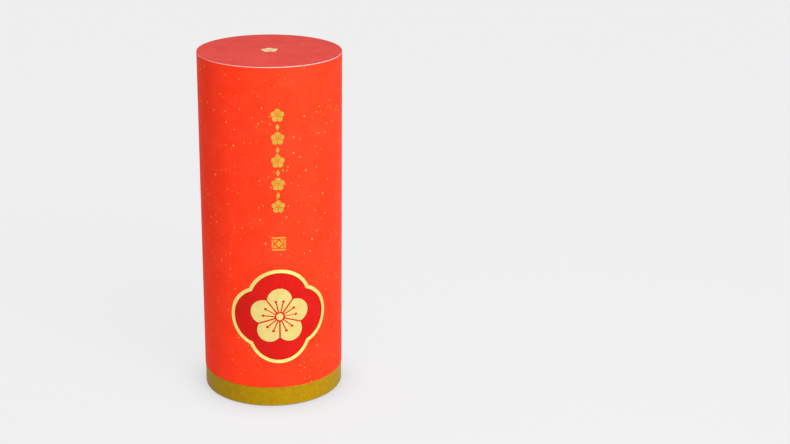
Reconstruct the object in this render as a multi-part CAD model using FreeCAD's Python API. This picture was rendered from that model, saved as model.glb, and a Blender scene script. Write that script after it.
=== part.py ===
import FreeCAD, Part
import math
import os

from FreeCAD import Vector

# A cylindrical gift tube box of wrapped board. A tall red lid slips down over an inner neck
# and rests on the shoulder of a short gold base. The neck holds the goods.
# Sizes are in millimetres. +Z is up, the origin is the centre of the foot, and the front faces -Y.

# Overall sizes
LID_DIAMETER = 100.0
TOTAL_HEIGHT = 246.7
BASE_HEIGHT = 14.5
BASE_INSET = 0.3
NECK_CLEARANCE = 0.35
NECK_RIM_DROP = 60.0

# Boards
LID_WALL = 1.7
NECK_WALL = 1.8
PLUG_THICKNESS = 2.0
BASE_DISC_THICKNESS = 2.0
TOP_CARD_THICKNESS = 0.4
TOP_CARD_INSET = 0.1

# Papers
WRAP_THICKNESS = 0.3
GOLD_PAPER_THICKNESS = 0.3
NECK_PAPER_THICKNESS = 0.2
LINING_THICKNESS = 0.2
PRINT_THICKNESS = 0.2
CEILING_PAPER_THICKNESS = 0.2
CEILING_PAPER_CLEARANCE = 0.3
FLOOR_PAPER_THICKNESS = 0.2
FOOT_PAPER_THICKNESS = 0.3
FOOT_PAPER_INSET = 3.0

# Turned edges of the papers, and the laps where their ends meet at the back
LID_RIM_TURN = 15.0
LID_TOP_TURN = 10.0
NECK_RIM_TURN = 15.0
BASE_FOOT_TURN = 8.0
LID_LAP_WIDTH = 8.0
BASE_LAP_WIDTH = 8.0

# Medallion on the lid: a gold card frame of four lobes round an inlaid panel
MEDALLION_RISE = 19.0
LOBE_RADIUS = 22.8
LOBE_REACH = 12.4
FRAME_WIDTH = 2.5
FRAME_THICKNESS = 0.35
PANEL_THICKNESS = 0.15
PANEL_CLEARANCE = 0.1

# Gold ornaments: the medallion's raised blossom, and foil on the wrap and the top
EMBLEM_THICKNESS = 0.3
FOIL_THICKNESS = 0.1
EMBLEM_RADIUS = 21.0
EMBLEM_GAP = 1.0
STAMEN_WIDTH = 0.8
STAMEN_DOT_RADIUS = 0.95
GARLAND_DROP = 28.4
GARLAND_RISE = 17.4
GARLAND_LEAST_PITCH = 15.0
GARLAND_RADIUS = 4.6
GARLAND_GAP = 0.4
LOZENGE_WIDTH = 2.4
LOZENGE_HEIGHT = 5.2
FRET_RISE = 14.2
FRET_SIDE = 9.6
FRET_BAR = 1.0
FRET_GAP = 0.7
TOP_EMBLEM_RADIUS = 6.0
TOP_EMBLEM_GAP = 0.45

# Proportions and counts of the ornaments
PETALS = 5
LOBES = 4
QUARTERS = 4
PETAL_SHARE = 0.42
HEART_SHARE = 0.12
STAMEN_REACH_SHARE = 0.55
STAMEN_TURNS = (-13.0, 13.0)

# How far a cutting shape runs past the wall that it cuts
OVERRUN = 1.0

# Angles: the front, where the print is centred, the back, where the papers lap, and up on the flat print
FRONT_ANGLE = 1.5 * math.pi
BACK_TURN = 90.0
UPWARD_TURN = 90.0
FULL_TURN = 360.0

UP = Vector(0, 0, 1)
ORIGIN = Vector(0, 0, 0)

# Radii of the lid, from its outer face inwards
LID_RADIUS = LID_DIAMETER / 2
LID_TUBE_RADIUS = LID_RADIUS - WRAP_THICKNESS
LID_TUBE_BORE = LID_TUBE_RADIUS - LID_WALL
LID_LINING_BORE = LID_TUBE_BORE - LINING_THICKNESS
LID_MOUTH_BORE = LID_TUBE_BORE - WRAP_THICKNESS

# Radii of the neck and the base
NECK_RADIUS = min(LID_MOUTH_BORE, LID_LINING_BORE) - NECK_CLEARANCE
NECK_TUBE_RADIUS = NECK_RADIUS - NECK_PAPER_THICKNESS
NECK_TUBE_BORE = NECK_TUBE_RADIUS - NECK_WALL
NECK_LINING_BORE = NECK_TUBE_BORE - LINING_THICKNESS
BASE_RADIUS = LID_RADIUS - BASE_INSET
RING_RADIUS = BASE_RADIUS - GOLD_PAPER_THICKNESS
RING_BORE = NECK_RADIUS + GOLD_PAPER_THICKNESS

# Heights, from the foot up
RING_LOW = FOOT_PAPER_THICKNESS + GOLD_PAPER_THICKNESS
RING_HIGH = BASE_HEIGHT - GOLD_PAPER_THICKNESS
NECK_LOW = RING_LOW + BASE_DISC_THICKNESS
FLOOR_HIGH = NECK_LOW + FLOOR_PAPER_THICKNESS
LID_TUBE_LOW = BASE_HEIGHT + WRAP_THICKNESS
CARD_HIGH = TOTAL_HEIGHT - PRINT_THICKNESS
CARD_LOW = CARD_HIGH - TOP_CARD_THICKNESS
LID_TUBE_HIGH = CARD_LOW - WRAP_THICKNESS
PLUG_LOW = LID_TUBE_HIGH - PLUG_THICKNESS
CEILING = PLUG_LOW - CEILING_PAPER_THICKNESS
NECK_TUBE_HIGH = CEILING - NECK_RIM_DROP - NECK_PAPER_THICKNESS

# Heights of the ornaments on the lid's front, from the lid's rim up
MEDALLION_CENTRE = BASE_HEIGHT + MEDALLION_RISE + LOBE_REACH + LOBE_RADIUS
MEDALLION_HIGH = MEDALLION_CENTRE + LOBE_REACH + LOBE_RADIUS
FRET_CENTRE = MEDALLION_HIGH + FRET_RISE + FRET_SIDE / 2
GARLAND_LOW = FRET_CENTRE + FRET_SIDE / 2 + GARLAND_RISE + GARLAND_RADIUS
GARLAND_HIGH = TOTAL_HEIGHT - GARLAND_DROP - GARLAND_RADIUS

# Radii of the layers under the medallion and the foil
PANEL_RADIUS = LID_TUBE_RADIUS + PANEL_THICKNESS
CARD_RADIUS = LID_RADIUS - TOP_CARD_INSET


def disc(radius, low, high):
    """Round sheet or board between two heights."""
    return Part.makeCylinder(radius, high - low, Vector(0, 0, low), UP)


def sleeve(bore, radius, low, high):
    """Straight tube between two heights."""
    return disc(radius, low, high).cut(disc(bore, low, high))


def folded_sheet(path, thickness):
    """Ring of paper that lies on the left of a path of (radius, height) corners and folds round each one."""
    corners = [Vector(radius, 0, height) for radius, height in path]
    sides = []
    for start, end in zip(corners, corners[1:]):
        along = (end - start).normalize()
        sides.append(Vector(-along.z, 0, along.x) * thickness)
    edges = [Part.makeLine(start, end) for start, end in zip(corners, corners[1:])]
    edges.append(Part.makeLine(corners[-1], corners[-1] + sides[-1]))
    edges.append(Part.makeLine(corners[0], corners[0] + sides[0]))
    for side, start, end in zip(sides, corners, corners[1:]):
        edges.append(Part.makeLine(start + side, end + side))
    for corner, side, next_side in zip(corners[1:], sides, sides[1:]):
        middle = (side + next_side).normalize() * thickness
        edges.append(Part.Arc(corner + side, corner + middle, corner + next_side).toShape())
    outline = Part.Wire(Part.__sortEdges__(edges))
    return Part.Face(outline).revolve(ORIGIN, UP, FULL_TURN)


def lap_strip(radius, thickness, width, low, high):
    """The end of a wrap that lies over its own start, in a strip down the back."""
    angle = math.degrees(width / radius)
    strip = sleeve(radius, radius + thickness, low, high)
    sector = Part.makeCylinder(radius + thickness + OVERRUN, high - low, Vector(0, 0, low), UP, angle)
    sector.rotate(ORIGIN, UP, BACK_TURN - angle / 2)
    return strip.common(sector)


def round_face(radius, x, y):
    """Flat disc of the print, with its seam turned towards the centre of the print."""
    circle = Part.makeCircle(radius, Vector(x, y, 0))
    circle.rotate(Vector(x, y, 0), UP, math.degrees(math.atan2(-y, -x)))
    return Part.Face(Part.Wire(circle))


def bar_face(length, width, angle):
    """Flat bar of the print that runs out from the centre at an angle."""
    bar = Part.makePlane(length, width, Vector(0, -width / 2, 0))
    bar.rotate(ORIGIN, UP, angle)
    return bar


def polygon_face(points):
    """Flat straight-sided shape of the print."""
    corners = [Vector(x, y, 0) for x, y in points]
    return Part.Face(Part.makePolygon(corners + corners[:1]))


def lobed_face(lobe_radius):
    """Flat shape of four round lobes that meet in four notches."""
    lobes = []
    for lobe in range(LOBES):
        angle = 2 * math.pi * lobe / LOBES
        lobes.append(round_face(lobe_radius, LOBE_REACH * math.cos(angle), LOBE_REACH * math.sin(angle)))
    return lobes[0].multiFuse(lobes[1:]).removeSplitter().Faces[0]


def blossom_faces(radius, gap, stamens=False):
    """Flat blossom of separate petals round a heart, with the stamens left open in the petals."""
    petal_radius = radius * PETAL_SHARE
    petal_reach = radius - petal_radius
    heart_radius = radius * HEART_SHARE
    heart = round_face(heart_radius, 0, 0)
    step = FULL_TURN / PETALS
    petals = []
    openings = [round_face(heart_radius + gap, 0, 0)]
    for petal in range(PETALS):
        turn = UPWARD_TURN + petal * step
        angle = math.radians(turn)
        petals.append(round_face(petal_radius, petal_reach * math.cos(angle), petal_reach * math.sin(angle)))
        openings.append(bar_face(radius, gap, turn + step / 2))
        if stamens:
            openings.extend(stamen_faces(radius, turn))
    return petals[0].multiFuse(petals[1:]).cut(openings).removeSplitter().Faces + [heart]


def stamen_faces(radius, turn):
    """Two open lines with a dot at the end of each, which run from the heart into a petal."""
    reach = radius * STAMEN_REACH_SHARE
    faces = []
    for stamen_turn in STAMEN_TURNS:
        angle = math.radians(turn + stamen_turn)
        faces.append(bar_face(reach, STAMEN_WIDTH, turn + stamen_turn))
        faces.append(round_face(STAMEN_DOT_RADIUS, reach * math.cos(angle), reach * math.sin(angle)))
    return faces


def moved(faces, height):
    """The same flat faces, further up the print."""
    copies = [face.copy() for face in faces]
    for copy in copies:
        copy.translate(Vector(0, height, 0))
    return copies


def rolled_edge(edge, wall):
    """An edge of the flat print, laid round a cylinder with its arc lengths kept at the lid's wall."""
    flat = edge.Curve.toBSpline(edge.FirstParameter, edge.LastParameter)
    poles = [FreeCAD.Base.Vector2d(FRONT_ANGLE + pole.x / LID_RADIUS, pole.y) for pole in flat.getPoles()]
    rolled = Part.Geom2d.BSplineCurve2d()
    rolled.buildFromPolesMultsKnots(
        poles, flat.getMultiplicities(), flat.getKnots(), False, flat.Degree, flat.getWeights()
    )
    return rolled.toShape(wall)


def rolled_solid(outline, inner_radius, outer_radius):
    """Solid between two radii whose edge follows a flat outline rolled round the lid."""
    rims = []
    faces = []
    for radius in (inner_radius, outer_radius):
        wall = Part.Cylinder()
        wall.Radius = radius
        rims.append(Part.Wire([rolled_edge(edge, wall) for edge in outline.OrderedEdges]))
        faces.append(Part.Face(wall, rims[-1]))
    for inner_edge, outer_edge in zip(rims[0].OrderedEdges, rims[1].OrderedEdges):
        faces.append(Part.makeRuledSurface(inner_edge, outer_edge))
    shell = Part.makeShell(faces)
    shell.sewShape()
    solid = Part.makeSolid(shell)
    if solid.Volume < 0:
        solid.reverse()
    return solid


def rolled_gilding(faces, radius, thickness):
    """Gold ornament on the lid's front: each flat face as its own thin solid."""
    return Part.makeCompound([rolled_solid(face.OuterWire, radius, radius + thickness) for face in faces])


def medallion_outline(inset):
    """Outline of the medallion, drawn in from the frame's outer edge."""
    return moved([lobed_face(LOBE_RADIUS - inset)], MEDALLION_CENTRE)[0].OuterWire


def base_ring():
    """Board ring that carries the gold paper and holds the foot of the neck."""
    return sleeve(RING_BORE, RING_RADIUS, RING_LOW, RING_HIGH)


def base_disc():
    """Board disc that closes the ring and carries the neck."""
    return disc(RING_BORE, RING_LOW, NECK_LOW)


def base_wrap():
    """Gold paper round the ring, turned in over the shoulder and under the foot."""
    path = [
        (RING_BORE, NECK_LOW),
        (RING_BORE, RING_HIGH),
        (RING_RADIUS, RING_HIGH),
        (RING_RADIUS, RING_LOW),
        (RING_RADIUS - BASE_FOOT_TURN, RING_LOW),
    ]
    lap = lap_strip(BASE_RADIUS, GOLD_PAPER_THICKNESS, BASE_LAP_WIDTH, RING_LOW, RING_HIGH)
    return folded_sheet(path, GOLD_PAPER_THICKNESS).fuse(lap)


def foot_paper():
    """Paper disc under the foot, which hides the turned edge and meets the table."""
    return disc(BASE_RADIUS - FOOT_PAPER_INSET, 0, FOOT_PAPER_THICKNESS)


def neck_tube():
    """Inner board tube that stands on the base disc and holds the goods."""
    return sleeve(NECK_TUBE_BORE, NECK_TUBE_RADIUS, NECK_LOW, NECK_TUBE_HIGH)


def neck_wrap():
    """Red paper on the neck, turned in over its rim."""
    path = [
        (NECK_TUBE_BORE, NECK_TUBE_HIGH - NECK_RIM_TURN),
        (NECK_TUBE_BORE, NECK_TUBE_HIGH),
        (NECK_TUBE_RADIUS, NECK_TUBE_HIGH),
        (NECK_TUBE_RADIUS, NECK_LOW),
    ]
    return folded_sheet(path, NECK_PAPER_THICKNESS)


def neck_lining():
    """White paper inside the neck, from the floor up to the turned edge."""
    return sleeve(NECK_LINING_BORE, NECK_TUBE_BORE, FLOOR_HIGH, NECK_TUBE_HIGH - NECK_RIM_TURN)


def floor_paper():
    """White paper disc on the floor inside the neck."""
    return disc(NECK_TUBE_BORE, NECK_LOW, FLOOR_HIGH)


def lid_tube():
    """Board tube of the lid."""
    return sleeve(LID_TUBE_BORE, LID_TUBE_RADIUS, LID_TUBE_LOW, LID_TUBE_HIGH)


def lid_wrap():
    """Red printed paper round the lid, turned over the top and in at the rim, with the medallion's window."""
    path = [
        (LID_TUBE_RADIUS - LID_TOP_TURN, LID_TUBE_HIGH),
        (LID_TUBE_RADIUS, LID_TUBE_HIGH),
        (LID_TUBE_RADIUS, LID_TUBE_LOW),
        (LID_TUBE_BORE, LID_TUBE_LOW),
        (LID_TUBE_BORE, LID_TUBE_LOW + LID_RIM_TURN),
    ]
    lap = lap_strip(LID_RADIUS, WRAP_THICKNESS, LID_LAP_WIDTH, LID_TUBE_LOW, LID_TUBE_HIGH)
    outline = medallion_outline(FRAME_WIDTH)
    window = rolled_solid(outline, LID_TUBE_RADIUS - OVERRUN, LID_RADIUS + OVERRUN)
    return folded_sheet(path, WRAP_THICKNESS).fuse(lap).cut(window)


def lid_lining():
    """White paper inside the lid, from the turned edge up to the plug."""
    return sleeve(LID_LINING_BORE, LID_TUBE_BORE, LID_TUBE_LOW + LID_RIM_TURN, PLUG_LOW)


def lid_end_plug():
    """Board disc glued into the top of the lid's tube."""
    return disc(LID_TUBE_BORE, PLUG_LOW, LID_TUBE_HIGH)


def lid_ceiling_paper():
    """White paper disc under the plug."""
    return disc(LID_LINING_BORE - CEILING_PAPER_CLEARANCE, CEILING, PLUG_LOW)


def lid_top_card():
    """White card glued over the lid's end, whose cut edge shows as a pale line."""
    return disc(CARD_RADIUS, CARD_LOW, CARD_HIGH)


def lid_top_print():
    """Deep red printed paper on the top card."""
    return disc(CARD_RADIUS, CARD_HIGH, TOTAL_HEIGHT)


def medallion_panel():
    """Deep red paper inlaid in the window of the wrap."""
    outline = medallion_outline(FRAME_WIDTH + PANEL_CLEARANCE)
    return rolled_solid(outline, LID_TUBE_RADIUS, PANEL_RADIUS)


def medallion_frame():
    """Gold card frame glued to the wrap round the window."""
    face_radius = LID_RADIUS + FRAME_THICKNESS
    outer = rolled_solid(medallion_outline(0), LID_RADIUS, face_radius)
    opening = rolled_solid(medallion_outline(FRAME_WIDTH), LID_RADIUS - OVERRUN, face_radius + OVERRUN)
    return outer.cut(opening)


def medallion_emblem():
    """Raised gold blossom on the panel."""
    faces = blossom_faces(EMBLEM_RADIUS, EMBLEM_GAP, stamens=True)
    return rolled_gilding(moved(faces, MEDALLION_CENTRE), PANEL_RADIUS, EMBLEM_THICKNESS)


def foil_garland():
    """Gold foil string of small blossoms and lozenges, which hangs down the lid's front."""
    lozenge = polygon_face(
        [(LOZENGE_WIDTH / 2, 0), (0, LOZENGE_HEIGHT / 2), (-LOZENGE_WIDTH / 2, 0), (0, -LOZENGE_HEIGHT / 2)]
    )
    steps = max(0, math.floor((GARLAND_HIGH - GARLAND_LOW) / GARLAND_LEAST_PITCH))
    faces = moved(blossom_faces(GARLAND_RADIUS, GARLAND_GAP), GARLAND_HIGH)
    for place in range(steps):
        pitch = (GARLAND_HIGH - GARLAND_LOW) / steps
        height = GARLAND_HIGH - (place + 1) * pitch
        faces.extend(moved(blossom_faces(GARLAND_RADIUS, GARLAND_GAP), height))
        faces.extend(moved([lozenge], height + pitch / 2))
    return rolled_gilding(faces, LID_RADIUS, FOIL_THICKNESS)


def foil_fret():
    """Gold foil fret under the garland: two long bars, two short ones and four corners round a diamond."""
    half = FRET_SIDE / 2
    inner = half - FRET_BAR
    corner = inner - FRET_GAP
    diamond = corner - FRET_GAP
    faces = [polygon_face([(diamond, 0), (0, diamond), (-diamond, 0), (0, -diamond)])]
    for quarter in range(QUARTERS):
        turn = FULL_TURN * quarter / QUARTERS
        lies_flat = quarter % 2 == 0
        reach = half if lies_flat else corner
        bar = polygon_face([(-reach, half), (reach, half), (reach, inner), (-reach, inner)])
        piece = polygon_face([(corner, corner), (FRET_GAP, corner), (corner, FRET_GAP)])
        for face in (bar, piece):
            face.rotate(ORIGIN, UP, turn)
            faces.append(face)
    return rolled_gilding(moved(faces, FRET_CENTRE), LID_RADIUS, FOIL_THICKNESS)


def top_emblem():
    """Gold foil blossom in the middle of the lid's top."""
    thickness = Vector(0, 0, FOIL_THICKNESS)
    solids = [face.extrude(thickness) for face in blossom_faces(TOP_EMBLEM_RADIUS, TOP_EMBLEM_GAP)]
    emblem = Part.makeCompound(solids)
    emblem.translate(Vector(0, 0, TOTAL_HEIGHT))
    return emblem


PIECES = (
    base_ring,
    base_disc,
    base_wrap,
    foot_paper,
    neck_tube,
    neck_wrap,
    neck_lining,
    floor_paper,
    lid_tube,
    lid_wrap,
    lid_lining,
    lid_end_plug,
    lid_ceiling_paper,
    lid_top_card,
    lid_top_print,
    medallion_panel,
    medallion_frame,
    medallion_emblem,
    foil_garland,
    foil_fret,
    top_emblem,
)

os.makedirs("parts", exist_ok=True)
for piece in PIECES:
    shape = piece()
    shape.exportStep(f"parts/{piece.__name__}.step")
    print(f"{piece.__name__}: {len(shape.Solids)} solids, {shape.Volume:.1f} mm3, valid {shape.isValid()}")
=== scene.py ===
# %% [markdown]
# A cylindrical gift tube box of wrapped board. A tall red lid slips over an inner neck and rests on a short
# gold base. The solids of the box are loaded first as a fixed frame, in metres, with the foot on the origin
# and the front facing -Y. Every new piece takes its size and place from that frame, so nothing has to be
# fitted by eye afterwards.

# %% Load the frame
import math

import bpy
from mathutils import Matrix, Vector


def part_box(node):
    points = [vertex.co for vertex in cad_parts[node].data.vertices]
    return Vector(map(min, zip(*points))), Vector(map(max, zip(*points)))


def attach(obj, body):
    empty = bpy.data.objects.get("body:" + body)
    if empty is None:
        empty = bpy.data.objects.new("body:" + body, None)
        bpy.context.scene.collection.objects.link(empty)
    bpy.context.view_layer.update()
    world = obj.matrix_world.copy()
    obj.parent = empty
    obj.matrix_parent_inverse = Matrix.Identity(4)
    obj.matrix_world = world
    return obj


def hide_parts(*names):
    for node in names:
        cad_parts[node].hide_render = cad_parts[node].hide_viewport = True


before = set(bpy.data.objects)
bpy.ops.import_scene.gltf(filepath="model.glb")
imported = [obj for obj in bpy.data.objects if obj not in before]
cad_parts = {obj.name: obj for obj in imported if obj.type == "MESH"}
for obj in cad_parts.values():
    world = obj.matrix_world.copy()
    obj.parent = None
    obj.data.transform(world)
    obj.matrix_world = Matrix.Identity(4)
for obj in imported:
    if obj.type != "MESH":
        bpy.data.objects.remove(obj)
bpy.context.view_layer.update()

MM = 0.001

# %% [markdown]
# The camera stands a little above the box and looks down on it, so that the top shows as a flat ellipse. It
# could be aimed with a tracking constraint, but then its small roll would be lost. Here its place and its
# three turns are written as one chain of matrices, from the box outwards: orbit, place, pan, tilt and roll.

# %% Camera
CAMERA_ORBIT = math.radians(-5.2)
CAMERA_PLACE = (0.0, -1.01467, 0.47875)
CAMERA_PAN = math.radians(-4.979)
CAMERA_TILT = math.radians(90 - 19.407)
CAMERA_ROLL = math.radians(0.852)
CAMERA_LENS = 68.29

bpy.ops.object.select_all(action="DESELECT")
bpy.ops.object.camera_add()
camera = bpy.context.object
camera.name = "photo_camera"
camera.data.lens = CAMERA_LENS
camera.matrix_world = (
    Matrix.Rotation(CAMERA_ORBIT, 4, "Z")
    @ Matrix.Translation(CAMERA_PLACE)
    @ Matrix.Rotation(CAMERA_PAN, 4, "Z")
    @ Matrix.Rotation(CAMERA_TILT, 4, "X")
    @ Matrix.Rotation(CAMERA_ROLL, 4, "Z")
)
bpy.context.scene.camera = camera
print("camera:", [round(value, 3) for value in camera.matrix_world.translation], camera.data.lens, "mm")

# %% [markdown]
# The box stands in a plain white studio and is lit from the front and the right. A sun with a wide disc
# acts as a very large soft box, and since it has no distance, it lights the whole floor evenly too. That
# alone would leave the wall equally bright from top to bottom. On the real box the upper right is the
# brightest, because the soft box stands close to it, so a small square lamp near that corner adds the fall
# of the light. The Standard view shows every colour as it is.

# %% Lamps
KEY_STRENGTH = 2.0
KEY_DISC = math.radians(60)
KEY_TILT = math.radians(57)
KEY_SIDE = math.radians(29)
NEAR_PLACE = (0.22, -0.44, 0.55)
NEAR_AIM = (0, 0, 0.19)
NEAR_SIZE = 0.25
NEAR_POWER = 2.0

bpy.ops.object.light_add(type="SUN", rotation=(KEY_TILT, 0, KEY_SIDE))
key_lamp = bpy.context.object
key_lamp.name = "soft_box"
key_lamp.data.energy = KEY_STRENGTH
key_lamp.data.angle = KEY_DISC
bpy.ops.object.light_add(type="AREA", location=NEAR_PLACE)
near_lamp = bpy.context.object
near_lamp.name = "near_soft_box"
near_lamp.data.energy = NEAR_POWER
near_lamp.data.size = NEAR_SIZE
near_lamp.rotation_euler = (Vector(NEAR_AIM) - Vector(NEAR_PLACE)).to_track_quat("-Z", "Y").to_euler()
bpy.context.scene.view_settings.view_transform = "Standard"
print("lamps: a disc of", round(math.degrees(KEY_DISC)), "degrees, and a square of", NEAR_SIZE, "m close by")

# %% [markdown]
# Every finish below is a small tree of nodes. Adding a node, setting it and wiring it takes several lines
# each time, so one helper does all three, and a second one starts a finish with the shader and the object
# coordinates at hand.

# %% Helpers for nodes
def add_node(finish, kind, options=None, sockets=None):
    """Adds a node, sets its options, and fills its sockets with values or with other nodes' outputs."""
    node = finish.node_tree.nodes.new(kind)
    for option, value in (options or {}).items():
        setattr(node, option, value)
    for socket, value in (sockets or {}).items():
        if isinstance(value, bpy.types.NodeSocket):
            finish.node_tree.links.new(value, node.inputs[socket])
        else:
            node.inputs[socket].default_value = value
    return node


def start_finish(name):
    """A new material with its shader and its object coordinates."""
    finish = bpy.data.materials.new(name)
    finish.use_nodes = True
    shader = finish.node_tree.nodes["Principled BSDF"]
    place = add_node(finish, "ShaderNodeTexCoord").outputs["Object"]
    return finish, shader, place


def wire(finish, output, shader, socket):
    """Leads an output into one of the shader's sockets."""
    finish.node_tree.links.new(output, shader.inputs[socket])


print("helpers for nodes are ready")

# %% [markdown]
# Paper is never one even colour, so every finish is drawn with noise: once for its tones, once for its
# roughness and once for its relief. Object coordinates are metres in the box's own frame, so a grain of
# half a millimetre is a scale of 1 / 0.0005. Nearly all the values of a noise lie between a quarter and
# three quarters, so a roughness that follows a grain is spread over that range.

# %% Helpers for patterns
def cloud(finish, place, size, detail=2.0):
    """Cloudy values round one half, with features of about the given size."""
    return add_node(
        finish, "ShaderNodeTexNoise", sockets={"Vector": place, "Scale": 1 / size, "Detail": detail}
    ).outputs[0]


def spread(finish, value, low, high, new_low=0.0, new_high=1.0):
    """Maps a range of values to another one, with soft ends."""
    return add_node(
        finish,
        "ShaderNodeMapRange",
        {"interpolation_type": "SMOOTHSTEP"},
        {"Value": value, "From Min": low, "From Max": high, "To Min": new_low, "To Max": new_high},
    ).outputs["Result"]


def plus(finish, first, second):
    """Sum of two values."""
    return add_node(finish, "ShaderNodeMath", {"operation": "ADD"}, {0: first, 1: second}).outputs[0]


def times(finish, first, second):
    """Product of two values."""
    return add_node(finish, "ShaderNodeMath", {"operation": "MULTIPLY"}, {0: first, 1: second}).outputs[0]


def mix_colours(finish, share, first, second):
    """Blend of two colours."""
    return add_node(
        finish, "ShaderNodeMix", {"data_type": "RGBA"}, {0: share, 6: first, 7: second}
    ).outputs[2]


CLOUD_RANGE = (0.25, 0.75)


def roughen(finish, shader, grain, smoothest, roughest):
    """Roughness that follows a grain."""
    wire(finish, spread(finish, grain, *CLOUD_RANGE, smoothest, roughest), shader, "Roughness")


def relief(finish, shader, height, depth):
    """Small bumps in the surface, of the given depth in metres."""
    bump = add_node(finish, "ShaderNodeBump", sockets={"Strength": 1.0, "Distance": depth, "Height": height})
    wire(finish, bump.outputs["Normal"], shader, "Normal")


print("helpers for patterns are ready")

# %% [markdown]
# Gold flecks are strewn over the red wrap, and a few over the top. They could be modelled one by one, but
# there are hundreds, so a Voronoi pattern makes them: a fleck shows wherever the surface passes close to
# the middle of one of its cells, and the cell's own random colour sets how large and how bright that fleck
# is. A little noise is added to the place first, so that the flecks come out ragged, as torn leaf is, and
# not as round dots.

# %% Gold flecks
FLECK_CELL = 4.0 * MM
FLECK_DRIFT = 38 * MM
DRIFT_RANGE = (0.3, 0.6)
DRIFT_LEAST = 0.6
FLECK_LEAST = 0.095
FLECK_MOST = 0.175
FLECK_SOFTNESS = 0.03
FLECK_FAINTEST = 0.45
FLECK_BRIGHTEST = 0.9
FLECK_TEAR = 0.5 * MM
FLECK_RAG = 0.5 * MM
FLECK_GOLD = (0.95, 0.46, 0.05, 1)
FLECK_AMBER = (0.9, 0.24, 0.02, 1)


def fleck_mask(finish, place):
    """Where the flecks are, from 0 to 1, and the gold of each one."""
    tear = add_node(
        finish, "ShaderNodeTexNoise", sockets={"Vector": place, "Scale": 1 / FLECK_TEAR, "Detail": 1.0}
    )
    ragged = add_node(
        finish,
        "ShaderNodeVectorMath",
        {"operation": "MULTIPLY_ADD"},
        {0: tear.outputs["Color"], 1: (FLECK_RAG, FLECK_RAG, FLECK_RAG), 2: place},
    ).outputs[0]
    cells = add_node(
        finish, "ShaderNodeTexVoronoi", {"feature": "F1"}, {"Vector": ragged, "Scale": 1 / FLECK_CELL}
    )
    chance = add_node(finish, "ShaderNodeSeparateColor", sockets={"Color": cells.outputs["Color"]})
    drift = spread(finish, cloud(finish, place, FLECK_DRIFT), *DRIFT_RANGE, DRIFT_LEAST)
    size = times(finish, spread(finish, chance.outputs[0], 0.0, 1.0, FLECK_LEAST, FLECK_MOST), drift)
    depth_in = add_node(
        finish, "ShaderNodeMath", {"operation": "SUBTRACT"}, {0: size, 1: cells.outputs["Distance"]}
    ).outputs[0]
    mask = spread(finish, depth_in, 0.0, FLECK_SOFTNESS)
    strength = spread(finish, chance.outputs[1], 0.0, 1.0, FLECK_FAINTEST, FLECK_BRIGHTEST)
    gold = mix_colours(finish, chance.outputs[2], FLECK_AMBER, FLECK_GOLD)
    return times(finish, mask, strength), gold


print("flecks: one to a cell of", round(FLECK_CELL / MM, 1), "mm")

# %% [markdown]
# The wrap and the other printed papers are satin sheets. The ink lies in soft clouds and in a fine mottle,
# and the fibres show as a grain. One function makes them all, because they differ only in ink, shine and
# flecks.

# %% Printed papers
INK_CLOUD = 14 * MM
INK_MOTTLE = 1.2 * MM
INK_RANGE = (0.7, 1.3)
PAPER_GRAIN = 0.45 * MM
GRAIN_DEPTH = 0.012 * MM
PAPER_ROUGHNESS = (0.45, 0.55)


def printed_paper(name, light_ink, dark_ink, shine, flecks=0.0):
    """Satin paper, printed in one colour, with a share of the flecks."""
    finish, shader, place = start_finish(name)
    mottle = plus(finish, cloud(finish, place, INK_CLOUD), cloud(finish, place, INK_MOTTLE))
    ink = mix_colours(finish, spread(finish, mottle, *INK_RANGE), dark_ink, light_ink)
    grain = cloud(finish, place, PAPER_GRAIN, detail=3.0)
    if flecks > 0:
        mask, gold = fleck_mask(finish, place)
        ink = mix_colours(finish, times(finish, mask, flecks), ink, gold)
    wire(finish, ink, shader, "Base Color")
    roughen(finish, shader, grain, *PAPER_ROUGHNESS)
    shader.inputs["Specular IOR Level"].default_value = shine
    relief(finish, shader, grain, GRAIN_DEPTH)
    return finish


red_wrap_paper = printed_paper(
    "red_wrap_paper",
    light_ink=(0.97, 0.047, 0.0155, 1),
    dark_ink=(0.91, 0.036, 0.009, 1),
    shine=0.02,
    flecks=1.0,
)
# The top's ink is darker than the wrap's and carries a pale pink cast: painted sheen, the grazing reflection
# of the pale studio put into the colour, while its shine is kept low.
top_paper_painted_sheen = printed_paper(
    "top_paper_painted_sheen", light_ink=(0.66, 0.0555, 0.04, 1), dark_ink=(0.57, 0.04, 0.0285, 1), shine=0.03, flecks=0.3
)
field_paper = printed_paper(
    "field_paper", light_ink=(0.56, 0.011, 0.008, 1), dark_ink=(0.5, 0.0075, 0.0045, 1), shine=0.04
)
neck_paper = printed_paper(
    "neck_paper", light_ink=(0.6, 0.014, 0.01, 1), dark_ink=(0.55, 0.011, 0.008, 1), shine=0.2
)
print("printed papers:", red_wrap_paper.name, top_paper_painted_sheen.name, field_paper.name, neck_paper.name)

# %% [markdown]
# The base is wrapped in a dull olive gold paper: metal powder in a matt lacquer, which shows as a coarse
# speckle of lighter and darker grains. A shader that is partly metal gives the dull glow, and two sizes of
# noise the speckle.

# %% Gold band paper
POWDER_GRAIN = 0.7 * MM
POWDER_PATCH = 2.4 * MM
POWDER_RANGE = (0.75, 1.25)
BAND_ROUGHNESS = (0.46, 0.58)
BAND_METAL = 0.3
BAND_SHINE = 0.06
BAND_LIGHT = (0.42, 0.249, 0.0026, 1)
BAND_DARK = (0.34, 0.197, 0.0014, 1)


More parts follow.
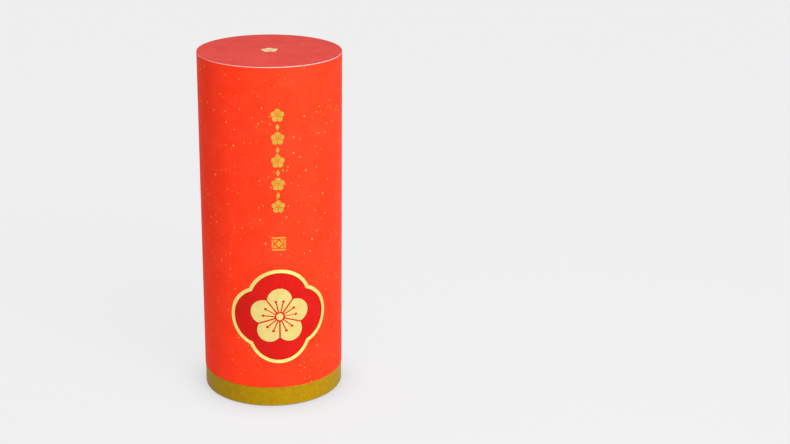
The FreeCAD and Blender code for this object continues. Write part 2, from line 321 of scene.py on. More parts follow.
def band_paper(name):
    """Matt paper with gold powder in its lacquer."""
    finish, shader, place = start_finish(name)
    powder = cloud(finish, place, POWDER_GRAIN)
    patch = cloud(finish, place, POWDER_PATCH)
    speckle = plus(finish, powder, patch)
    gold = mix_colours(finish, spread(finish, speckle, *POWDER_RANGE), BAND_DARK, BAND_LIGHT)
    wire(finish, gold, shader, "Base Color")
    roughen(finish, shader, powder, *BAND_ROUGHNESS)
    shader.inputs["Metallic"].default_value = BAND_METAL
    shader.inputs["Specular IOR Level"].default_value = BAND_SHINE
    relief(finish, shader, powder, GRAIN_DEPTH)
    return finish


gold_band_paper = band_paper("gold_band_paper")
print("band paper:", gold_band_paper.name)

# %% [markdown]
# The frame, the raised blossom and the foil are stamped gold. Hot foil on paper is metal, but the fibres
# under it break its shine up into a satin glow, so the shader is all metal with a middling roughness and a
# fine grain.

# %% Stamped golds
STAMP_GRAIN = 0.6 * MM
STAMP_CLOUD = 6 * MM
STAMP_RANGE = (0.3, 0.7)
STAMP_DEPTH = 0.006 * MM
STAMP_SWING = 0.06


def stamped_gold(name, light_gold, dark_gold, roughness):
    """Satin gold foil on paper."""
    finish, shader, place = start_finish(name)
    patch = cloud(finish, place, STAMP_CLOUD, detail=3.0)
    grain = cloud(finish, place, STAMP_GRAIN)
    gold = mix_colours(finish, spread(finish, patch, *STAMP_RANGE), dark_gold, light_gold)
    wire(finish, gold, shader, "Base Color")
    roughen(finish, shader, grain, roughness - STAMP_SWING, roughness + STAMP_SWING)
    shader.inputs["Metallic"].default_value = 1.0
    relief(finish, shader, grain, STAMP_DEPTH)
    return finish


card_gold = stamped_gold(
    "card_gold", light_gold=(0.95, 0.77, 0.28, 1), dark_gold=(0.9, 0.7, 0.22, 1), roughness=0.4
)
frame_gold = stamped_gold(
    "frame_gold", light_gold=(0.9, 0.8, 0.26, 1), dark_gold=(0.855, 0.74, 0.205, 1), roughness=0.48
)
print_gold = stamped_gold(
    "print_gold", light_gold=(0.72, 0.5, 0.07, 1), dark_gold=(0.62, 0.42, 0.045, 1), roughness=0.42
)
top_gold = stamped_gold(
    "top_gold", light_gold=(0.93, 0.78, 0.4, 1), dark_gold=(0.86, 0.7, 0.33, 1), roughness=0.42
)
print("stamped golds:", card_gold.name, frame_gold.name, print_gold.name, top_gold.name)

# %% [markdown]
# White stock shows wherever a sheet is cut or left unprinted. The cut edge of the card draws the pale line
# round the top. It is rough, and its colour is darker and pinker than the clean paper of the linings: the
# darkening is painted shade, as a rough edge shades itself. Grey board is only seen when the box is taken
# apart. All three are plain fibre stock: a pale colour with soft clouds, a fibre speckle and a matt surface.

# %% White stock and board
FIBRE_CLOUD = 9 * MM
FIBRE_SPECK = 0.5 * MM
FIBRE_DEPTH = 0.015 * MM
FIBRE_STRETCH = (1.0, 1.0, 0.35)
STOCK_ROUGHNESS = (0.7, 0.85)
STOCK_RANGE = (0.7, 1.2)
BOARD_RANGE = (0.65, 1.25)


def fibre_stock(name, light_fibre, dark_fibre, tones):
    """Unprinted paper, card or board with visible fibres."""
    finish, shader, place = start_finish(name)
    fibres = add_node(
        finish, "ShaderNodeMapping", sockets={"Vector": place, "Scale": FIBRE_STRETCH}
    ).outputs["Vector"]
    speck = cloud(finish, fibres, FIBRE_SPECK, detail=4.0)
    patch = cloud(finish, place, FIBRE_CLOUD)
    tone = spread(finish, plus(finish, speck, patch), *tones)
    wire(finish, mix_colours(finish, tone, dark_fibre, light_fibre), shader, "Base Color")
    roughen(finish, shader, speck, *STOCK_ROUGHNESS)
    relief(finish, shader, speck, FIBRE_DEPTH)
    return finish


def give_finish(piece, finish):
    """Takes all finishes off a piece and gives it this one."""
    piece.data.materials.clear()
    piece.data.materials.append(finish)


# The card's colour is darkened as painted shade for its rough cut edge.
card_stock_painted_shade = fibre_stock("card_stock_painted_shade", (0.77, 0.63, 0.6, 1), (0.69, 0.55, 0.52, 1), STOCK_RANGE)
paper_stock = fibre_stock("paper_stock", (0.87, 0.86, 0.83, 1), (0.8, 0.78, 0.75, 1), STOCK_RANGE)
grey_board = fibre_stock("grey_board", (0.6, 0.52, 0.42, 1), (0.38, 0.31, 0.23, 1), BOARD_RANGE)

BOARD_NODES = ("base_ring", "base_disc", "neck_tube", "lid_tube", "lid_end_plug")
for node in BOARD_NODES:
    give_finish(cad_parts[node], grey_board)
print("stock:", card_stock_painted_shade.name, paper_stock.name, "and", grey_board.name, "on", len(BOARD_NODES), "boards")

# %% [markdown]
# The floor is plain and pale. If it were only lit, the shadow of the box would darken half of it, so for
# the eye and for reflections most of its brightness is its own glow. The rest is lit, which keeps a soft
# shadow round the box. The glow is dimmed where the box stands close by: an occlusion node that looks out
# to the right and to the front finds the foot only from the left and from behind, which leaves the soft
# dark patch that a lamp from the front right would. Where it finds little of the foot, the floor counts as
# clear.

# %% Floor
FLOOR_SIZE = 8.0
FLOOR_DROP = -0.1 * MM
PALE_LEVEL = 0.871
FLOOR_WHITE = (0.8, 0.8, 0.8, 1)
GLOW_SHARE = 0.9
CONTACT_REACH = 50 * MM
CONTACT_CLEAR = 0.85
CONTACT_SIDE = (0.7, -0.47, 0.53)
CONTACT_DEPTH = 0.62
CONTACT_SAMPLES = 12


def seen_directly(owner):
    """One for what the eye, a reflection or a clear piece sees, and nought for light that is cast."""
    rays = add_node(owner, "ShaderNodeLightPath").outputs
    share = rays["Is Camera Ray"]
    for ray in ("Is Glossy Ray", "Is Transmission Ray"):
        share = add_node(
            owner, "ShaderNodeMath", {"operation": "ADD", "use_clamp": True}, {0: share, 1: rays[ray]}
        ).outputs[0]
    return share


bpy.ops.object.select_all(action="DESELECT")
bpy.ops.mesh.primitive_plane_add(size=FLOOR_SIZE, location=(0, 0, FLOOR_DROP))
floor = bpy.context.object
floor.name = "studio_floor"
floor_finish, floor_shader, _ = start_finish("studio_floor")
floor_shader.inputs["Base Color"].default_value = FLOOR_WHITE
floor_shader.inputs["Roughness"].default_value = 1.0
floor_shader.inputs["Specular IOR Level"].default_value = 0.0
openness = add_node(
    floor_finish,
    "ShaderNodeAmbientOcclusion",
    {"samples": CONTACT_SAMPLES},
    {"Distance": CONTACT_REACH, "Normal": CONTACT_SIDE},
).outputs["AO"]
dimmed = spread(floor_finish, openness, 0.0, CONTACT_CLEAR, PALE_LEVEL * (1 - CONTACT_DEPTH), PALE_LEVEL)
glow = add_node(floor_finish, "ShaderNodeEmission", sockets={"Strength": dimmed}).outputs[0]
glow_share = times(floor_finish, seen_directly(floor_finish), GLOW_SHARE)
floor_mix = add_node(
    floor_finish, "ShaderNodeMixShader", sockets={0: glow_share, 1: floor_shader.outputs[0], 2: glow}
)
floor_output = floor_finish.node_tree.nodes["Material Output"]
floor_finish.node_tree.links.new(floor_mix.outputs[0], floor_output.inputs["Surface"])
give_finish(floor, floor_finish)
print("floor:", FLOOR_SIZE, "m square, with a glow of", PALE_LEVEL)

# %% [markdown]
# The backdrop is the world around the box. It glows too: reflections see it as pale as the floor, while the
# light that it casts on the box stays at the studio's own, lower level. One strength for both would either
# light the box too much or leave the gold with dull reflections.

# %% Backdrop
STUDIO_LEVEL = 0.555

studio = bpy.data.worlds.new("studio")
studio.use_nodes = True
bpy.context.scene.world = studio
backdrop = studio.node_tree.nodes["Background"]
backdrop.inputs["Color"].default_value = (1, 1, 1, 1)
wire(studio, spread(studio, seen_directly(studio), 0.0, 1.0, STUDIO_LEVEL, PALE_LEVEL), backdrop, "Strength")
print("backdrop: seen at", PALE_LEVEL, "and lighting the box at", STUDIO_LEVEL)

# %% [markdown]
# Every piece is modelled as by hand, in edit mode. The helpers here start a piece as a single point, draw
# on from it by extruding, open a piece with all of it selected, and apply a modifier as soon as it is set.

# %% Helpers for drawing
def name_new(name):
    """Names the piece that was just added."""
    piece = bpy.context.object
    piece.name = name
    piece.data.name = name
    return piece


def start_point(name, place):
    """Starts a piece in edit mode, as a single point."""
    bpy.ops.object.select_all(action="DESELECT")
    bpy.ops.mesh.primitive_plane_add(size=MM)
    piece = name_new(name)
    bpy.ops.object.mode_set(mode="EDIT")
    bpy.ops.mesh.select_all(action="SELECT")
    bpy.ops.mesh.merge(type="CENTER")
    bpy.ops.transform.translate(value=place)
    return piece


def draw_on(points):
    """Extrudes the last point from place to place."""
    for here, there in zip(points, points[1:]):
        step = Vector(there) - Vector(here)
        bpy.ops.mesh.extrude_region_move(TRANSFORM_OT_translate={"value": step})


def make_active(piece):
    """Selects one piece alone."""
    bpy.ops.object.select_all(action="DESELECT")
    piece.select_set(True)
    bpy.context.view_layer.objects.active = piece


def edit_whole(piece):
    """Opens one piece in edit mode, with all of it selected."""
    make_active(piece)
    bpy.ops.object.mode_set(mode="EDIT")
    bpy.ops.mesh.select_all(action="SELECT")


def apply_modifier(piece, kind, settings):
    """Adds a modifier with these settings and applies it."""
    make_active(piece)
    modifier = piece.modifiers.new(kind.lower(), kind)
    for setting, value in settings.items():
        setattr(modifier, setting, value)
    bpy.ops.object.modifier_apply(modifier=modifier.name)


def flip_if(piece, wrong):
    """Turns all faces of a piece round if they look the wrong way."""
    if wrong:
        edit_whole(piece)
        bpy.ops.mesh.flip_normals()
        bpy.ops.object.mode_set(mode="OBJECT")


print("helpers for drawing are ready")

# %% [markdown]
# A finished piece is shaded smooth wherever its faces meet at a small angle. A weighted normal modifier
# then lets the large faces set the shading, so that a flat front stays flat right up to its bevel. The
# piece rides on its body and stands for its solid, which is hidden.

# %% Setting a piece in place
SMOOTH_BELOW = math.radians(20)
LARGE_FACES_FIRST = {"mode": "FACE_AREA", "weight": 100, "keep_sharp": True}


def set_in_place(piece, body, slot, *nodes):
    """Shades a finished piece, hangs it on its body, and lets it stand for its solids."""
    make_active(piece)
    bpy.ops.object.shade_smooth_by_angle(angle=SMOOTH_BELOW)
    apply_modifier(piece, "WEIGHTED_NORMAL", LARGE_FACES_FIRST)
    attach(piece, body)
    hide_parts(*nodes)
    places = [vertex.co / MM for vertex in piece.data.vertices]
    low = [round(min(place[axis] for place in places), 2) for axis in range(3)]
    high = [round(max(place[axis] for place in places), 2) for axis in range(3)]
    print(piece.name, len(piece.data.polygons), "faces, mm:", low, high)


print("pieces are smooth below", round(math.degrees(SMOOTH_BELOW)), "degrees")

# %% [markdown]
# Most pieces of this box are sheets of paper that go round it. Each is drawn once as a path from the side,
# with its corners rounded as paper folds, and spun about the upright axis. Solidify then gives the sheet
# its thickness and puts the plain side of the paper on the back.

# %% Helpers for sheets that go round
AROUND = 256
FOLD_STEPS = 6
FOLD_EASE = 1.5
MERGE_WITHIN = 0.001 * MM


def fold_corners(corners, radius):
    """Rounds the inner corners of a path of (radius, height) places, as paper folds round a board."""
    path = [Vector(corners[0])]
    for before, corner, after in zip(corners, corners[1:], corners[2:]):
        back = (Vector(before) - Vector(corner)).normalized()
        ahead = (Vector(after) - Vector(corner)).normalized()
        centre = Vector(corner) + (back + ahead) * radius
        for step in range(FOLD_STEPS + 1):
            turn = math.pi / 2 * step / FOLD_STEPS
            path.append(centre - (ahead * math.cos(turn) + back * math.sin(turn)) * radius)
    path.append(Vector(corners[-1]))
    return path


def spun_sheet(name, corners, thickness, printed, plain):
    """A sheet that is folded along a path and goes all the way round, printed outside and plain inside."""
    path = [(radius, 0, height) for radius, height in fold_corners(corners, thickness * FOLD_EASE)]
    piece = start_point(name, path[0])
    draw_on(path)
    bpy.ops.mesh.select_all(action="SELECT")
    bpy.ops.mesh.spin(steps=AROUND, angle=math.tau, center=(0, 0, 0), axis=(0, 0, 1))
    bpy.ops.mesh.select_all(action="SELECT")
    bpy.ops.mesh.remove_doubles(threshold=MERGE_WITHIN)
    bpy.ops.mesh.normals_make_consistent(inside=False)
    bpy.ops.object.mode_set(mode="OBJECT")
    widest = max(piece.data.polygons, key=lambda face: face.center.xy.length)
    flip_if(piece, widest.normal.xy.dot(widest.center.xy) < 0)
    piece.data.materials.append(printed)
    piece.data.materials.append(plain)
    apply_modifier(
        piece,
        "SOLIDIFY",
        {"thickness": thickness, "offset": -1.0, "material_offset": 1, "material_offset_rim": 1},
    )
    return piece


def outer_radius(node):
    """Outer radius of a round solid."""
    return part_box(node)[1].x


def heights(node):
    """Lowest and highest place of a solid."""
    low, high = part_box(node)
    return low.z, high.z


print("sheets go round in", AROUND, "steps")

# %% [markdown]
# Flat prints are laid round the lid. A print is drawn flat in the plane of X and Z, facing -Y, then cut
# into narrow upright strips and rolled with a bend modifier, which keeps its widths as lengths of arc.
# Rolling comes last, so all the drawing and bevelling is done on easy flat shapes.

# %% Helpers for flat prints
STRIP = 1.25 * MM
lid_radius = outer_radius("lid_wrap")


def slice_in_strips(piece):
    """Cuts a flat print along upright lines, so that it can be rolled smoothly."""
    reach = max(abs(vertex.co.x) for vertex in piece.data.vertices)
    count = math.ceil(reach / STRIP)
    edit_whole(piece)
    bpy.ops.mesh.quads_convert_to_tris(quad_method="BEAUTY", ngon_method="BEAUTY")
    for strip in range(1 - count, count):
        bpy.ops.mesh.select_all(action="SELECT")
        bpy.ops.mesh.bisect(plane_co=(strip * reach / count, 0, 0), plane_no=(1, 0, 0))
    bpy.ops.object.mode_set(mode="OBJECT")


def shift(piece, move, turn=(0, 0, 0)):
    """Turns and moves a piece, and writes both into its mesh."""
    make_active(piece)
    piece.rotation_euler = turn
    piece.location = move
    bpy.ops.object.transform_apply(location=True, rotation=True, scale=True)


def roll_round(piece):
    """Rolls a flat print round the lid. What lies at y = 0 comes to lie on the lid's face."""
    low = min(vertex.co.x for vertex in piece.data.vertices)
    high = max(vertex.co.x for vertex in piece.data.vertices)
    angle = (high - low) / lid_radius
    apply_modifier(piece, "SIMPLE_DEFORM", {"deform_method": "BEND", "deform_axis": "Z", "angle": angle})
    shift(piece, (0, -lid_radius, 0))


print("lid radius, mm:", round(lid_radius / MM, 3))

# %% [markdown]
# The parts of a print are plates: an outline is drawn, filled with one face and raised by its thickness.
# Parts that repeat are copied, each copy with its own mesh, and then joined. Windows and gaps are cut with
# a Boolean. It can leave points almost on top of each other, so these are merged at once.

# %% Helpers for plates, copies and cuts
CUT_MERGE = 0.005 * MM


def raise_face(piece, thickness):
    """Extrudes the one face of a flat piece forwards."""
    edit_whole(piece)
    bpy.ops.mesh.extrude_region_move(TRANSFORM_OT_translate={"value": (0, -thickness, 0)})
    bpy.ops.object.mode_set(mode="OBJECT")


def plate(name, corners, thickness):
    """A flat straight-sided plate that stands on y = 0 and faces -Y, from its (x, z) corners."""
    path = [(x, 0, z) for x, z in corners]
    piece = start_point(name, path[0])
    draw_on(path)
    bpy.ops.mesh.select_all(action="SELECT")
    bpy.ops.mesh.edge_face_add()
    bpy.ops.object.mode_set(mode="OBJECT")
    flip_if(piece, piece.data.polygons[0].normal.y > 0)
    raise_face(piece, thickness)
    return piece


def twin_of(piece, move=(0, 0, 0), turn=0.0):
    """A copy with its own mesh, turned in the plane of the print and moved."""
    make_active(piece)
    bpy.ops.object.duplicate(linked=False)
    twin = bpy.context.object
    shift(twin, move, (0, turn, 0))
    return twin


def join_pieces(name, pieces):
    """Joins pieces into one object."""
    make_active(pieces[0])
    for piece in pieces[1:]:
        piece.select_set(True)
    bpy.ops.object.join()
    pieces[0].name = name
    pieces[0].data.name = name
    return pieces[0]


def cut_out(piece, cutter):
    """Takes a closed shape out of a piece. The cut walls keep the cutter's own finish."""
    apply_modifier(
        piece,
        "BOOLEAN",
        {"operation": "DIFFERENCE", "solver": "EXACT", "material_mode": "TRANSFER", "object": cutter},
    )
    bpy.data.objects.remove(cutter)
    edit_whole(piece)
    bpy.ops.mesh.remove_doubles(threshold=CUT_MERGE)
    bpy.ops.mesh.dissolve_degenerate(threshold=CUT_MERGE)
    bpy.ops.object.mode_set(mode="OBJECT")


print("cuts merge points within", round(CUT_MERGE / MM, 3), "mm")

# %% [markdown]
# The medallion is a shape of four round lobes that meet in four notches. Its outline is drawn as four arcs,
# each spun from one notch to the next about the middle of its lobe. The same outline with smaller lobes
# gives the window in the wrap, the panel in that window and the inner edge of the frame.

# %% Outline of the medallion
LOBES = 4
LOBE_STEPS = 56
frame_low, frame_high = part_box("medallion_frame")
medallion_height = (frame_low.z + frame_high.z) / 2
LOBE_REACH = 12.4 * MM
FRAME_WIDTH = 2.5 * MM
LOBE_RADIUS = (frame_high.z - frame_low.z) / 2 - LOBE_REACH


def lobed_face(name, lobe_radius):
    """The flat shape of four lobes, as one face that looks towards -Y."""
    notch = (LOBE_REACH + math.sqrt(2 * lobe_radius**2 - LOBE_REACH**2)) / 2
    half_turn = math.atan2(notch, notch - LOBE_REACH)
    quarters = []
    for lobe in range(LOBES):
        turn = math.tau * lobe / LOBES
        middle = Vector((math.cos(turn), 0, math.sin(turn))) * LOBE_REACH
        start = Vector((math.cos(turn - half_turn), 0, math.sin(turn - half_turn))) * lobe_radius
        quarters.append(start_point(name, middle + start))
        bpy.ops.mesh.spin(steps=LOBE_STEPS, angle=2 * half_turn, center=middle, axis=(0, 1, 0))
        bpy.ops.object.mode_set(mode="OBJECT")
    piece = join_pieces(name, quarters)
    edit_whole(piece)
    bpy.ops.mesh.remove_doubles(threshold=MERGE_WITHIN)
    bpy.ops.mesh.edge_face_add()
    bpy.ops.object.mode_set(mode="OBJECT")
    flip_if(piece, piece.data.polygons[0].normal.y > 0)
    return piece


print("medallion: lobe radius and height, mm:", round(LOBE_RADIUS / MM, 2), round(medallion_height / MM, 2))

# %% [markdown]
# The wrap is one sheet of red paper. It starts inside the lid's mouth, folds round the rim, goes up the
# wall and folds in over the top, under the card. At the back its end laps over its start, which shows as
# one upright step: sharp on the side where the sheet was cut, and running out to nothing on the other side.
# The lap is a thin wedge, rolled and turned to the back.

# %% Lid wrap
LAP_WIDTH = 8 * MM
LAP_EDGE = 0.06 * MM
TOP_TURN = 10 * MM

lid_low, lid_fold = heights("lid_wrap")
tube_radius = outer_radius("lid_tube")
tube_bore = outer_radius("lid_end_plug")
wrap_thickness = lid_radius - tube_radius
rim_turn_high = heights("lid_lining")[0]
lid_red_wrap = spun_sheet(
    "lid_red_wrap",
    [
        (tube_bore - wrap_thickness, rim_turn_high),
        (tube_bore - wrap_thickness, lid_low),
        (lid_radius, lid_low),
        (lid_radius, lid_fold),
        (tube_radius - TOP_TURN, lid_fold),
    ],
    wrap_thickness,
    red_wrap_paper,
    paper_stock,
)


def lap_wedge(name, thickness, low, high, printed):
    """The end of a wrap that lies over its own start: a flat wedge with a cut edge, cut in strips to be
    rolled.
    """
    half = LAP_WIDTH / 2
    profile = [
        (-half, 0, low),
        (half, 0, low),
        (half, LAP_EDGE - thickness, low),
        (half - LAP_EDGE, -thickness, low),
    ]
    piece = start_point(name, profile[0])
    draw_on(profile)
    bpy.ops.mesh.select_all(action="SELECT")
    bpy.ops.mesh.edge_face_add()
    bpy.ops.mesh.extrude_region_move(TRANSFORM_OT_translate={"value": (0, 0, high - low)})
    bpy.ops.mesh.select_all(action="SELECT")
    bpy.ops.mesh.normals_make_consistent(inside=False)
    bpy.ops.object.mode_set(mode="OBJECT")
    give_finish(piece, printed)
    slice_in_strips(piece)
    return piece


lid_lap = lap_wedge("lid_lap", wrap_thickness, *heights("lid_tube"), red_wrap_paper)
roll_round(lid_lap)
shift(lid_lap, (0, 0, 0), (0, 0, math.pi))
print("wrap:", len(lid_red_wrap.data.polygons), "faces, lap:", len(lid_lap.data.polygons))

# %% [markdown]
# The medallion's window goes through the wrap. A Boolean cuts it with a rolled plug of the same outline.
# The long wall is first cut into rows round the window, so that the cut only disturbs the shading of small
# faces, all of which the frame hides. The many-sided faces that the cut leaves are split into well-shaped
# triangles, which any program then reads in the same way.

# %% Window in the wrap
CUT_ROWS = 2.5 * MM
WINDOW_DEPTH = 1 * MM
QUAD_SIDES = 4

make_active(lid_red_wrap)
bpy.ops.object.mode_set(mode="EDIT")
row_count = math.ceil((frame_high.z - frame_low.z) / CUT_ROWS)
for row in range(row_count + 1):
    row_height = frame_low.z + row * CUT_ROWS
    bpy.ops.mesh.select_all(action="SELECT")
    bpy.ops.mesh.bisect(plane_co=(0, 0, row_height), plane_no=(0, 0, 1))
bpy.ops.object.mode_set(mode="OBJECT")

window_plug = lobed_face("window_plug", LOBE_RADIUS - FRAME_WIDTH)
raise_face(window_plug, 2 * WINDOW_DEPTH)
shift(window_plug, (0, WINDOW_DEPTH, medallion_height))
slice_in_strips(window_plug)
roll_round(window_plug)
# The cut walls take the panel's deep red, not the white core of the paper, so that they draw a dark line
# round the recess in place of its shade: painted shade.
give_finish(window_plug, field_paper)
cut_out(lid_red_wrap, window_plug)
bpy.ops.object.mode_set(mode="EDIT")
bpy.ops.mesh.select_mode(type="FACE")
bpy.ops.mesh.select_face_by_sides(number=QUAD_SIDES, type="GREATER")
bpy.ops.mesh.quads_convert_to_tris(quad_method="BEAUTY", ngon_method="BEAUTY")
bpy.ops.mesh.select_mode(type="VERT")
bpy.ops.object.mode_set(mode="OBJECT")
lid_red_wrap = join_pieces("lid_red_wrap", [lid_red_wrap, lid_lap])
set_in_place(lid_red_wrap, "lid", "red_paper", "lid_wrap")

# %% [markdown]
# The lid's end is closed by a disc of white card with the deep red print glued on it. Both were punched in
# one stroke, so the card's white edge shows as a pale line round the top. Each is a disc with its rims
# softly bevelled: a sharp rim would catch no light.

# %% Top card and print
CARD_SOFTNESS = 0.08 * MM
PRINT_SOFTNESS = 0.05 * MM
RIM_STEPS = 2


def round_edges(piece, wanted, softness):
    """Bevels those edges of a piece whose two ends together pass a test."""
    make_active(piece)
    bpy.ops.object.mode_set(mode="EDIT")
    bpy.ops.mesh.select_mode(type="EDGE")
    bpy.ops.mesh.select_all(action="DESELECT")
    bpy.ops.object.mode_set(mode="OBJECT")
    for edge in piece.data.edges:
        edge.select = wanted(*[piece.data.vertices[index].co for index in edge.vertices])
    bpy.ops.object.mode_set(mode="EDIT")
    bpy.ops.mesh.bevel(offset=softness, segments=RIM_STEPS, affect="EDGES")
    bpy.ops.mesh.select_mode(type="VERT")
    bpy.ops.object.mode_set(mode="OBJECT")


def soft_disc(name, node, softness, finish):
    """A disc of card or paper with softly rounded rims, where its solid is."""
    low, high = heights(node)
    bpy.ops.object.select_all(action="DESELECT")
    bpy.ops.mesh.primitive_cylinder_add(
        vertices=AROUND, radius=outer_radius(node), depth=high - low, location=(0, 0, (low + high) / 2)
    )
    piece = name_new(name)
    bpy.ops.object.transform_apply(location=True, rotation=True, scale=True)
    round_edges(piece, lambda one, two: abs(one.z - two.z) < MERGE_WITHIN, softness)
    give_finish(piece, finish)
    return piece


lid_card_disc = soft_disc("lid_card_disc", "lid_top_card", CARD_SOFTNESS, card_stock_painted_shade)
set_in_place(lid_card_disc, "lid", "white_card", "lid_top_card")
# The top print's finish holds a painted sheen in its colour.
lid_top_paper = soft_disc("lid_top_paper", "lid_top_print", PRINT_SOFTNESS, top_paper_painted_sheen)
set_in_place(lid_top_paper, "lid", "deep_red_paper", "lid_top_print")

# %% [markdown]
# The panel is a deep red paper laid into the window, a little below the wrap. It is the lobed shape again,
# raised by the thickness of the paper, cut into strips and rolled.

# %% Medallion panel
PANEL_CLEARANCE = 0.1 * MM
PANEL_THICKNESS = 0.15 * MM

panel_drop = lid_radius - tube_radius
medallion_field = lobed_face("medallion_field", LOBE_RADIUS - FRAME_WIDTH - PANEL_CLEARANCE)
raise_face(medallion_field, PANEL_THICKNESS)
shift(medallion_field, (0, panel_drop, medallion_height))
slice_in_strips(medallion_field)
roll_round(medallion_field)
give_finish(medallion_field, field_paper)
set_in_place(medallion_field, "lid", "deep_red_paper", "medallion_panel")

# %% [markdown]
# The frame is gilt card. Its stamped face has a bright bevel along both edges and a shallow groove along
# the middle. The flat outline is raised and then inset several times, each time a little up or down, which
# draws the whole profile. Front and back faces are found by the way they look. The middle is then pushed
# down and opened, and the two lower loops are bridged, so that the frame is a closed ring.

# %% Medallion frame
FRAME_THICKNESS = 0.35 * MM
FRAME_BEVEL = 0.45 * MM
FRAME_RISE = 0.1 * MM
GROOVE_SLOPE = 0.18 * MM
GROOVE_WIDTH = 0.62 * MM
GROOVE_DEPTH = 0.09 * MM
FACING = 0.9
shelf = (FRAME_WIDTH - 2 * FRAME_BEVEL - 2 * GROOVE_SLOPE - GROOVE_WIDTH) / 2
FRAME_STEPS = (
    (FRAME_BEVEL, FRAME_RISE),
    (shelf, 0.0),
    (GROOVE_SLOPE, -GROOVE_DEPTH),
    (GROOVE_WIDTH, 0.0),
    (GROOVE_SLOPE, GROOVE_DEPTH),
    (shelf, 0.0),
    (FRAME_BEVEL, -FRAME_RISE),
)

medallion_gilt_frame = lobed_face("medallion_gilt_frame", LOBE_RADIUS)
raise_face(medallion_gilt_frame, FRAME_THICKNESS - FRAME_RISE)
for face in medallion_gilt_frame.data.polygons:
    face.select = face.normal.y < -FACING
bpy.ops.object.mode_set(mode="EDIT")
bpy.ops.mesh.select_mode(type="FACE")
for width, rise in FRAME_STEPS:
    bpy.ops.mesh.inset(thickness=width, depth=rise)
bpy.ops.mesh.extrude_region_move(TRANSFORM_OT_translate={"value": (0, FRAME_THICKNESS - FRAME_RISE, 0)})
bpy.ops.mesh.delete(type="ONLY_FACE")
bpy.ops.object.mode_set(mode="OBJECT")
for face in medallion_gilt_frame.data.polygons:
    face.select = face.normal.y > FACING and len(face.vertices) > LOBE_STEPS
bpy.ops.object.mode_set(mode="EDIT")
bpy.ops.mesh.delete(type="ONLY_FACE")
bpy.ops.mesh.select_mode(type="EDGE")
bpy.ops.mesh.select_all(action="DESELECT")
bpy.ops.mesh.select_non_manifold()
bpy.ops.mesh.bridge_edge_loops()
bpy.ops.mesh.select_mode(type="VERT")
bpy.ops.mesh.select_all(action="SELECT")
bpy.ops.mesh.normals_make_consistent(inside=False)
bpy.ops.object.mode_set(mode="OBJECT")
give_finish(medallion_gilt_frame, frame_gold)
shift(medallion_gilt_frame, (0, 0, medallion_height))
roll_round(medallion_gilt_frame)
set_in_place(medallion_gilt_frame, "lid", "gold_card", "medallion_frame")

# %% [markdown]
# The gold ornaments are plum blossoms, an old pattern of five round petals about a heart. One petal is made
# from a flat disc: two slanting cuts part it from its neighbours, and round and straight cutters open the
# heart and the two stamens. The cutters reach out past both faces, so that no thin skin is left.

# %% Helpers for petals
PETALS = 5
PETAL_SHARE = 0.42
HEART_SHARE = 0.12
DISC_STEPS = 72
STAMEN_WIDTH = 0.8 * MM
STAMEN_DOT = 0.95 * MM
STAMEN_REACH_SHARE = 0.55
STAMEN_TURNS = (math.radians(-13), math.radians(13))
CUTTER_DEPTHS = 3
FLAT_WITHIN = math.radians(1)


def flat_disc(name, radius, thickness, place):
    """A round plate that faces -Y, from the plane y = 0 forwards."""
    x, z = place
    bpy.ops.object.select_all(action="DESELECT")
    bpy.ops.mesh.primitive_cylinder_add(
        vertices=DISC_STEPS,
        radius=radius,
        depth=thickness,
        location=(x, -thickness / 2, z),
        rotation=(math.pi / 2, 0, 0),
    )
    piece = name_new(name)
    bpy.ops.object.transform_apply(location=True, rotation=True, scale=True)
    return piece


def flat_bar(width, length, thickness, turn):
    """A straight plate from the middle of the blossom outwards."""
    half = width / 2
    piece = plate("bar", [(-half, 0), (half, 0), (half, length), (-half, length)], thickness)
    shift(piece, (0, 0, 0), (0, turn, 0))
    return piece


def petal(radius, gap, thickness, stamens):
    """The topmost petal of a blossom whose middle is at the origin."""
    petal_radius = radius * PETAL_SHARE
    piece = flat_disc("petal", petal_radius, thickness, (0, radius - petal_radius))
    make_active(piece)
    bpy.ops.object.mode_set(mode="EDIT")
    half_step = math.pi / PETALS
    for side in (-1, 1):
        away = Vector((side * math.cos(half_step), 0, -math.sin(half_step)))
        bpy.ops.mesh.select_all(action="SELECT")
        bpy.ops.mesh.bisect(
            plane_co=-away * gap / 2, plane_no=away, use_fill=True, clear_outer=True, threshold=MERGE_WITHIN
        )
    bpy.ops.object.mode_set(mode="OBJECT")
    reach_through = CUTTER_DEPTHS * thickness
    cutters = [flat_disc("heart_cut", radius * HEART_SHARE + gap, reach_through, (0, 0))]
    reach = radius * STAMEN_REACH_SHARE
    for turn in stamens:
        cutters.append(flat_bar(STAMEN_WIDTH, reach, reach_through, turn))
        tip = (reach * math.sin(turn), reach * math.cos(turn))
        cutters.append(flat_disc("dot", STAMEN_DOT, reach_through, tip))
    for cutter in cutters:
        shift(cutter, (0, thickness, 0))
        cut_out(piece, cutter)
    edit_whole(piece)
    bpy.ops.mesh.dissolve_limited(angle_limit=FLAT_WITHIN)
    bpy.ops.object.mode_set(mode="OBJECT")
    return piece


print("petals are", round(math.degrees(math.tau / PETALS)), "degrees apart")

# %% [markdown]
# A blossom is one petal copied round a heart. On a raised blossom the front edges are bevelled first, so
# that they catch the light, and the copies take the bevel with them.

# %% Helpers for blossoms
def soften_front(piece, softness):
    """Bevels the edges round the front face of a flat piece."""
    front = min(vertex.co.y for vertex in piece.data.vertices)
    round_edges(piece, lambda one, two: max(one.y, two.y) < front + MERGE_WITHIN, softness)


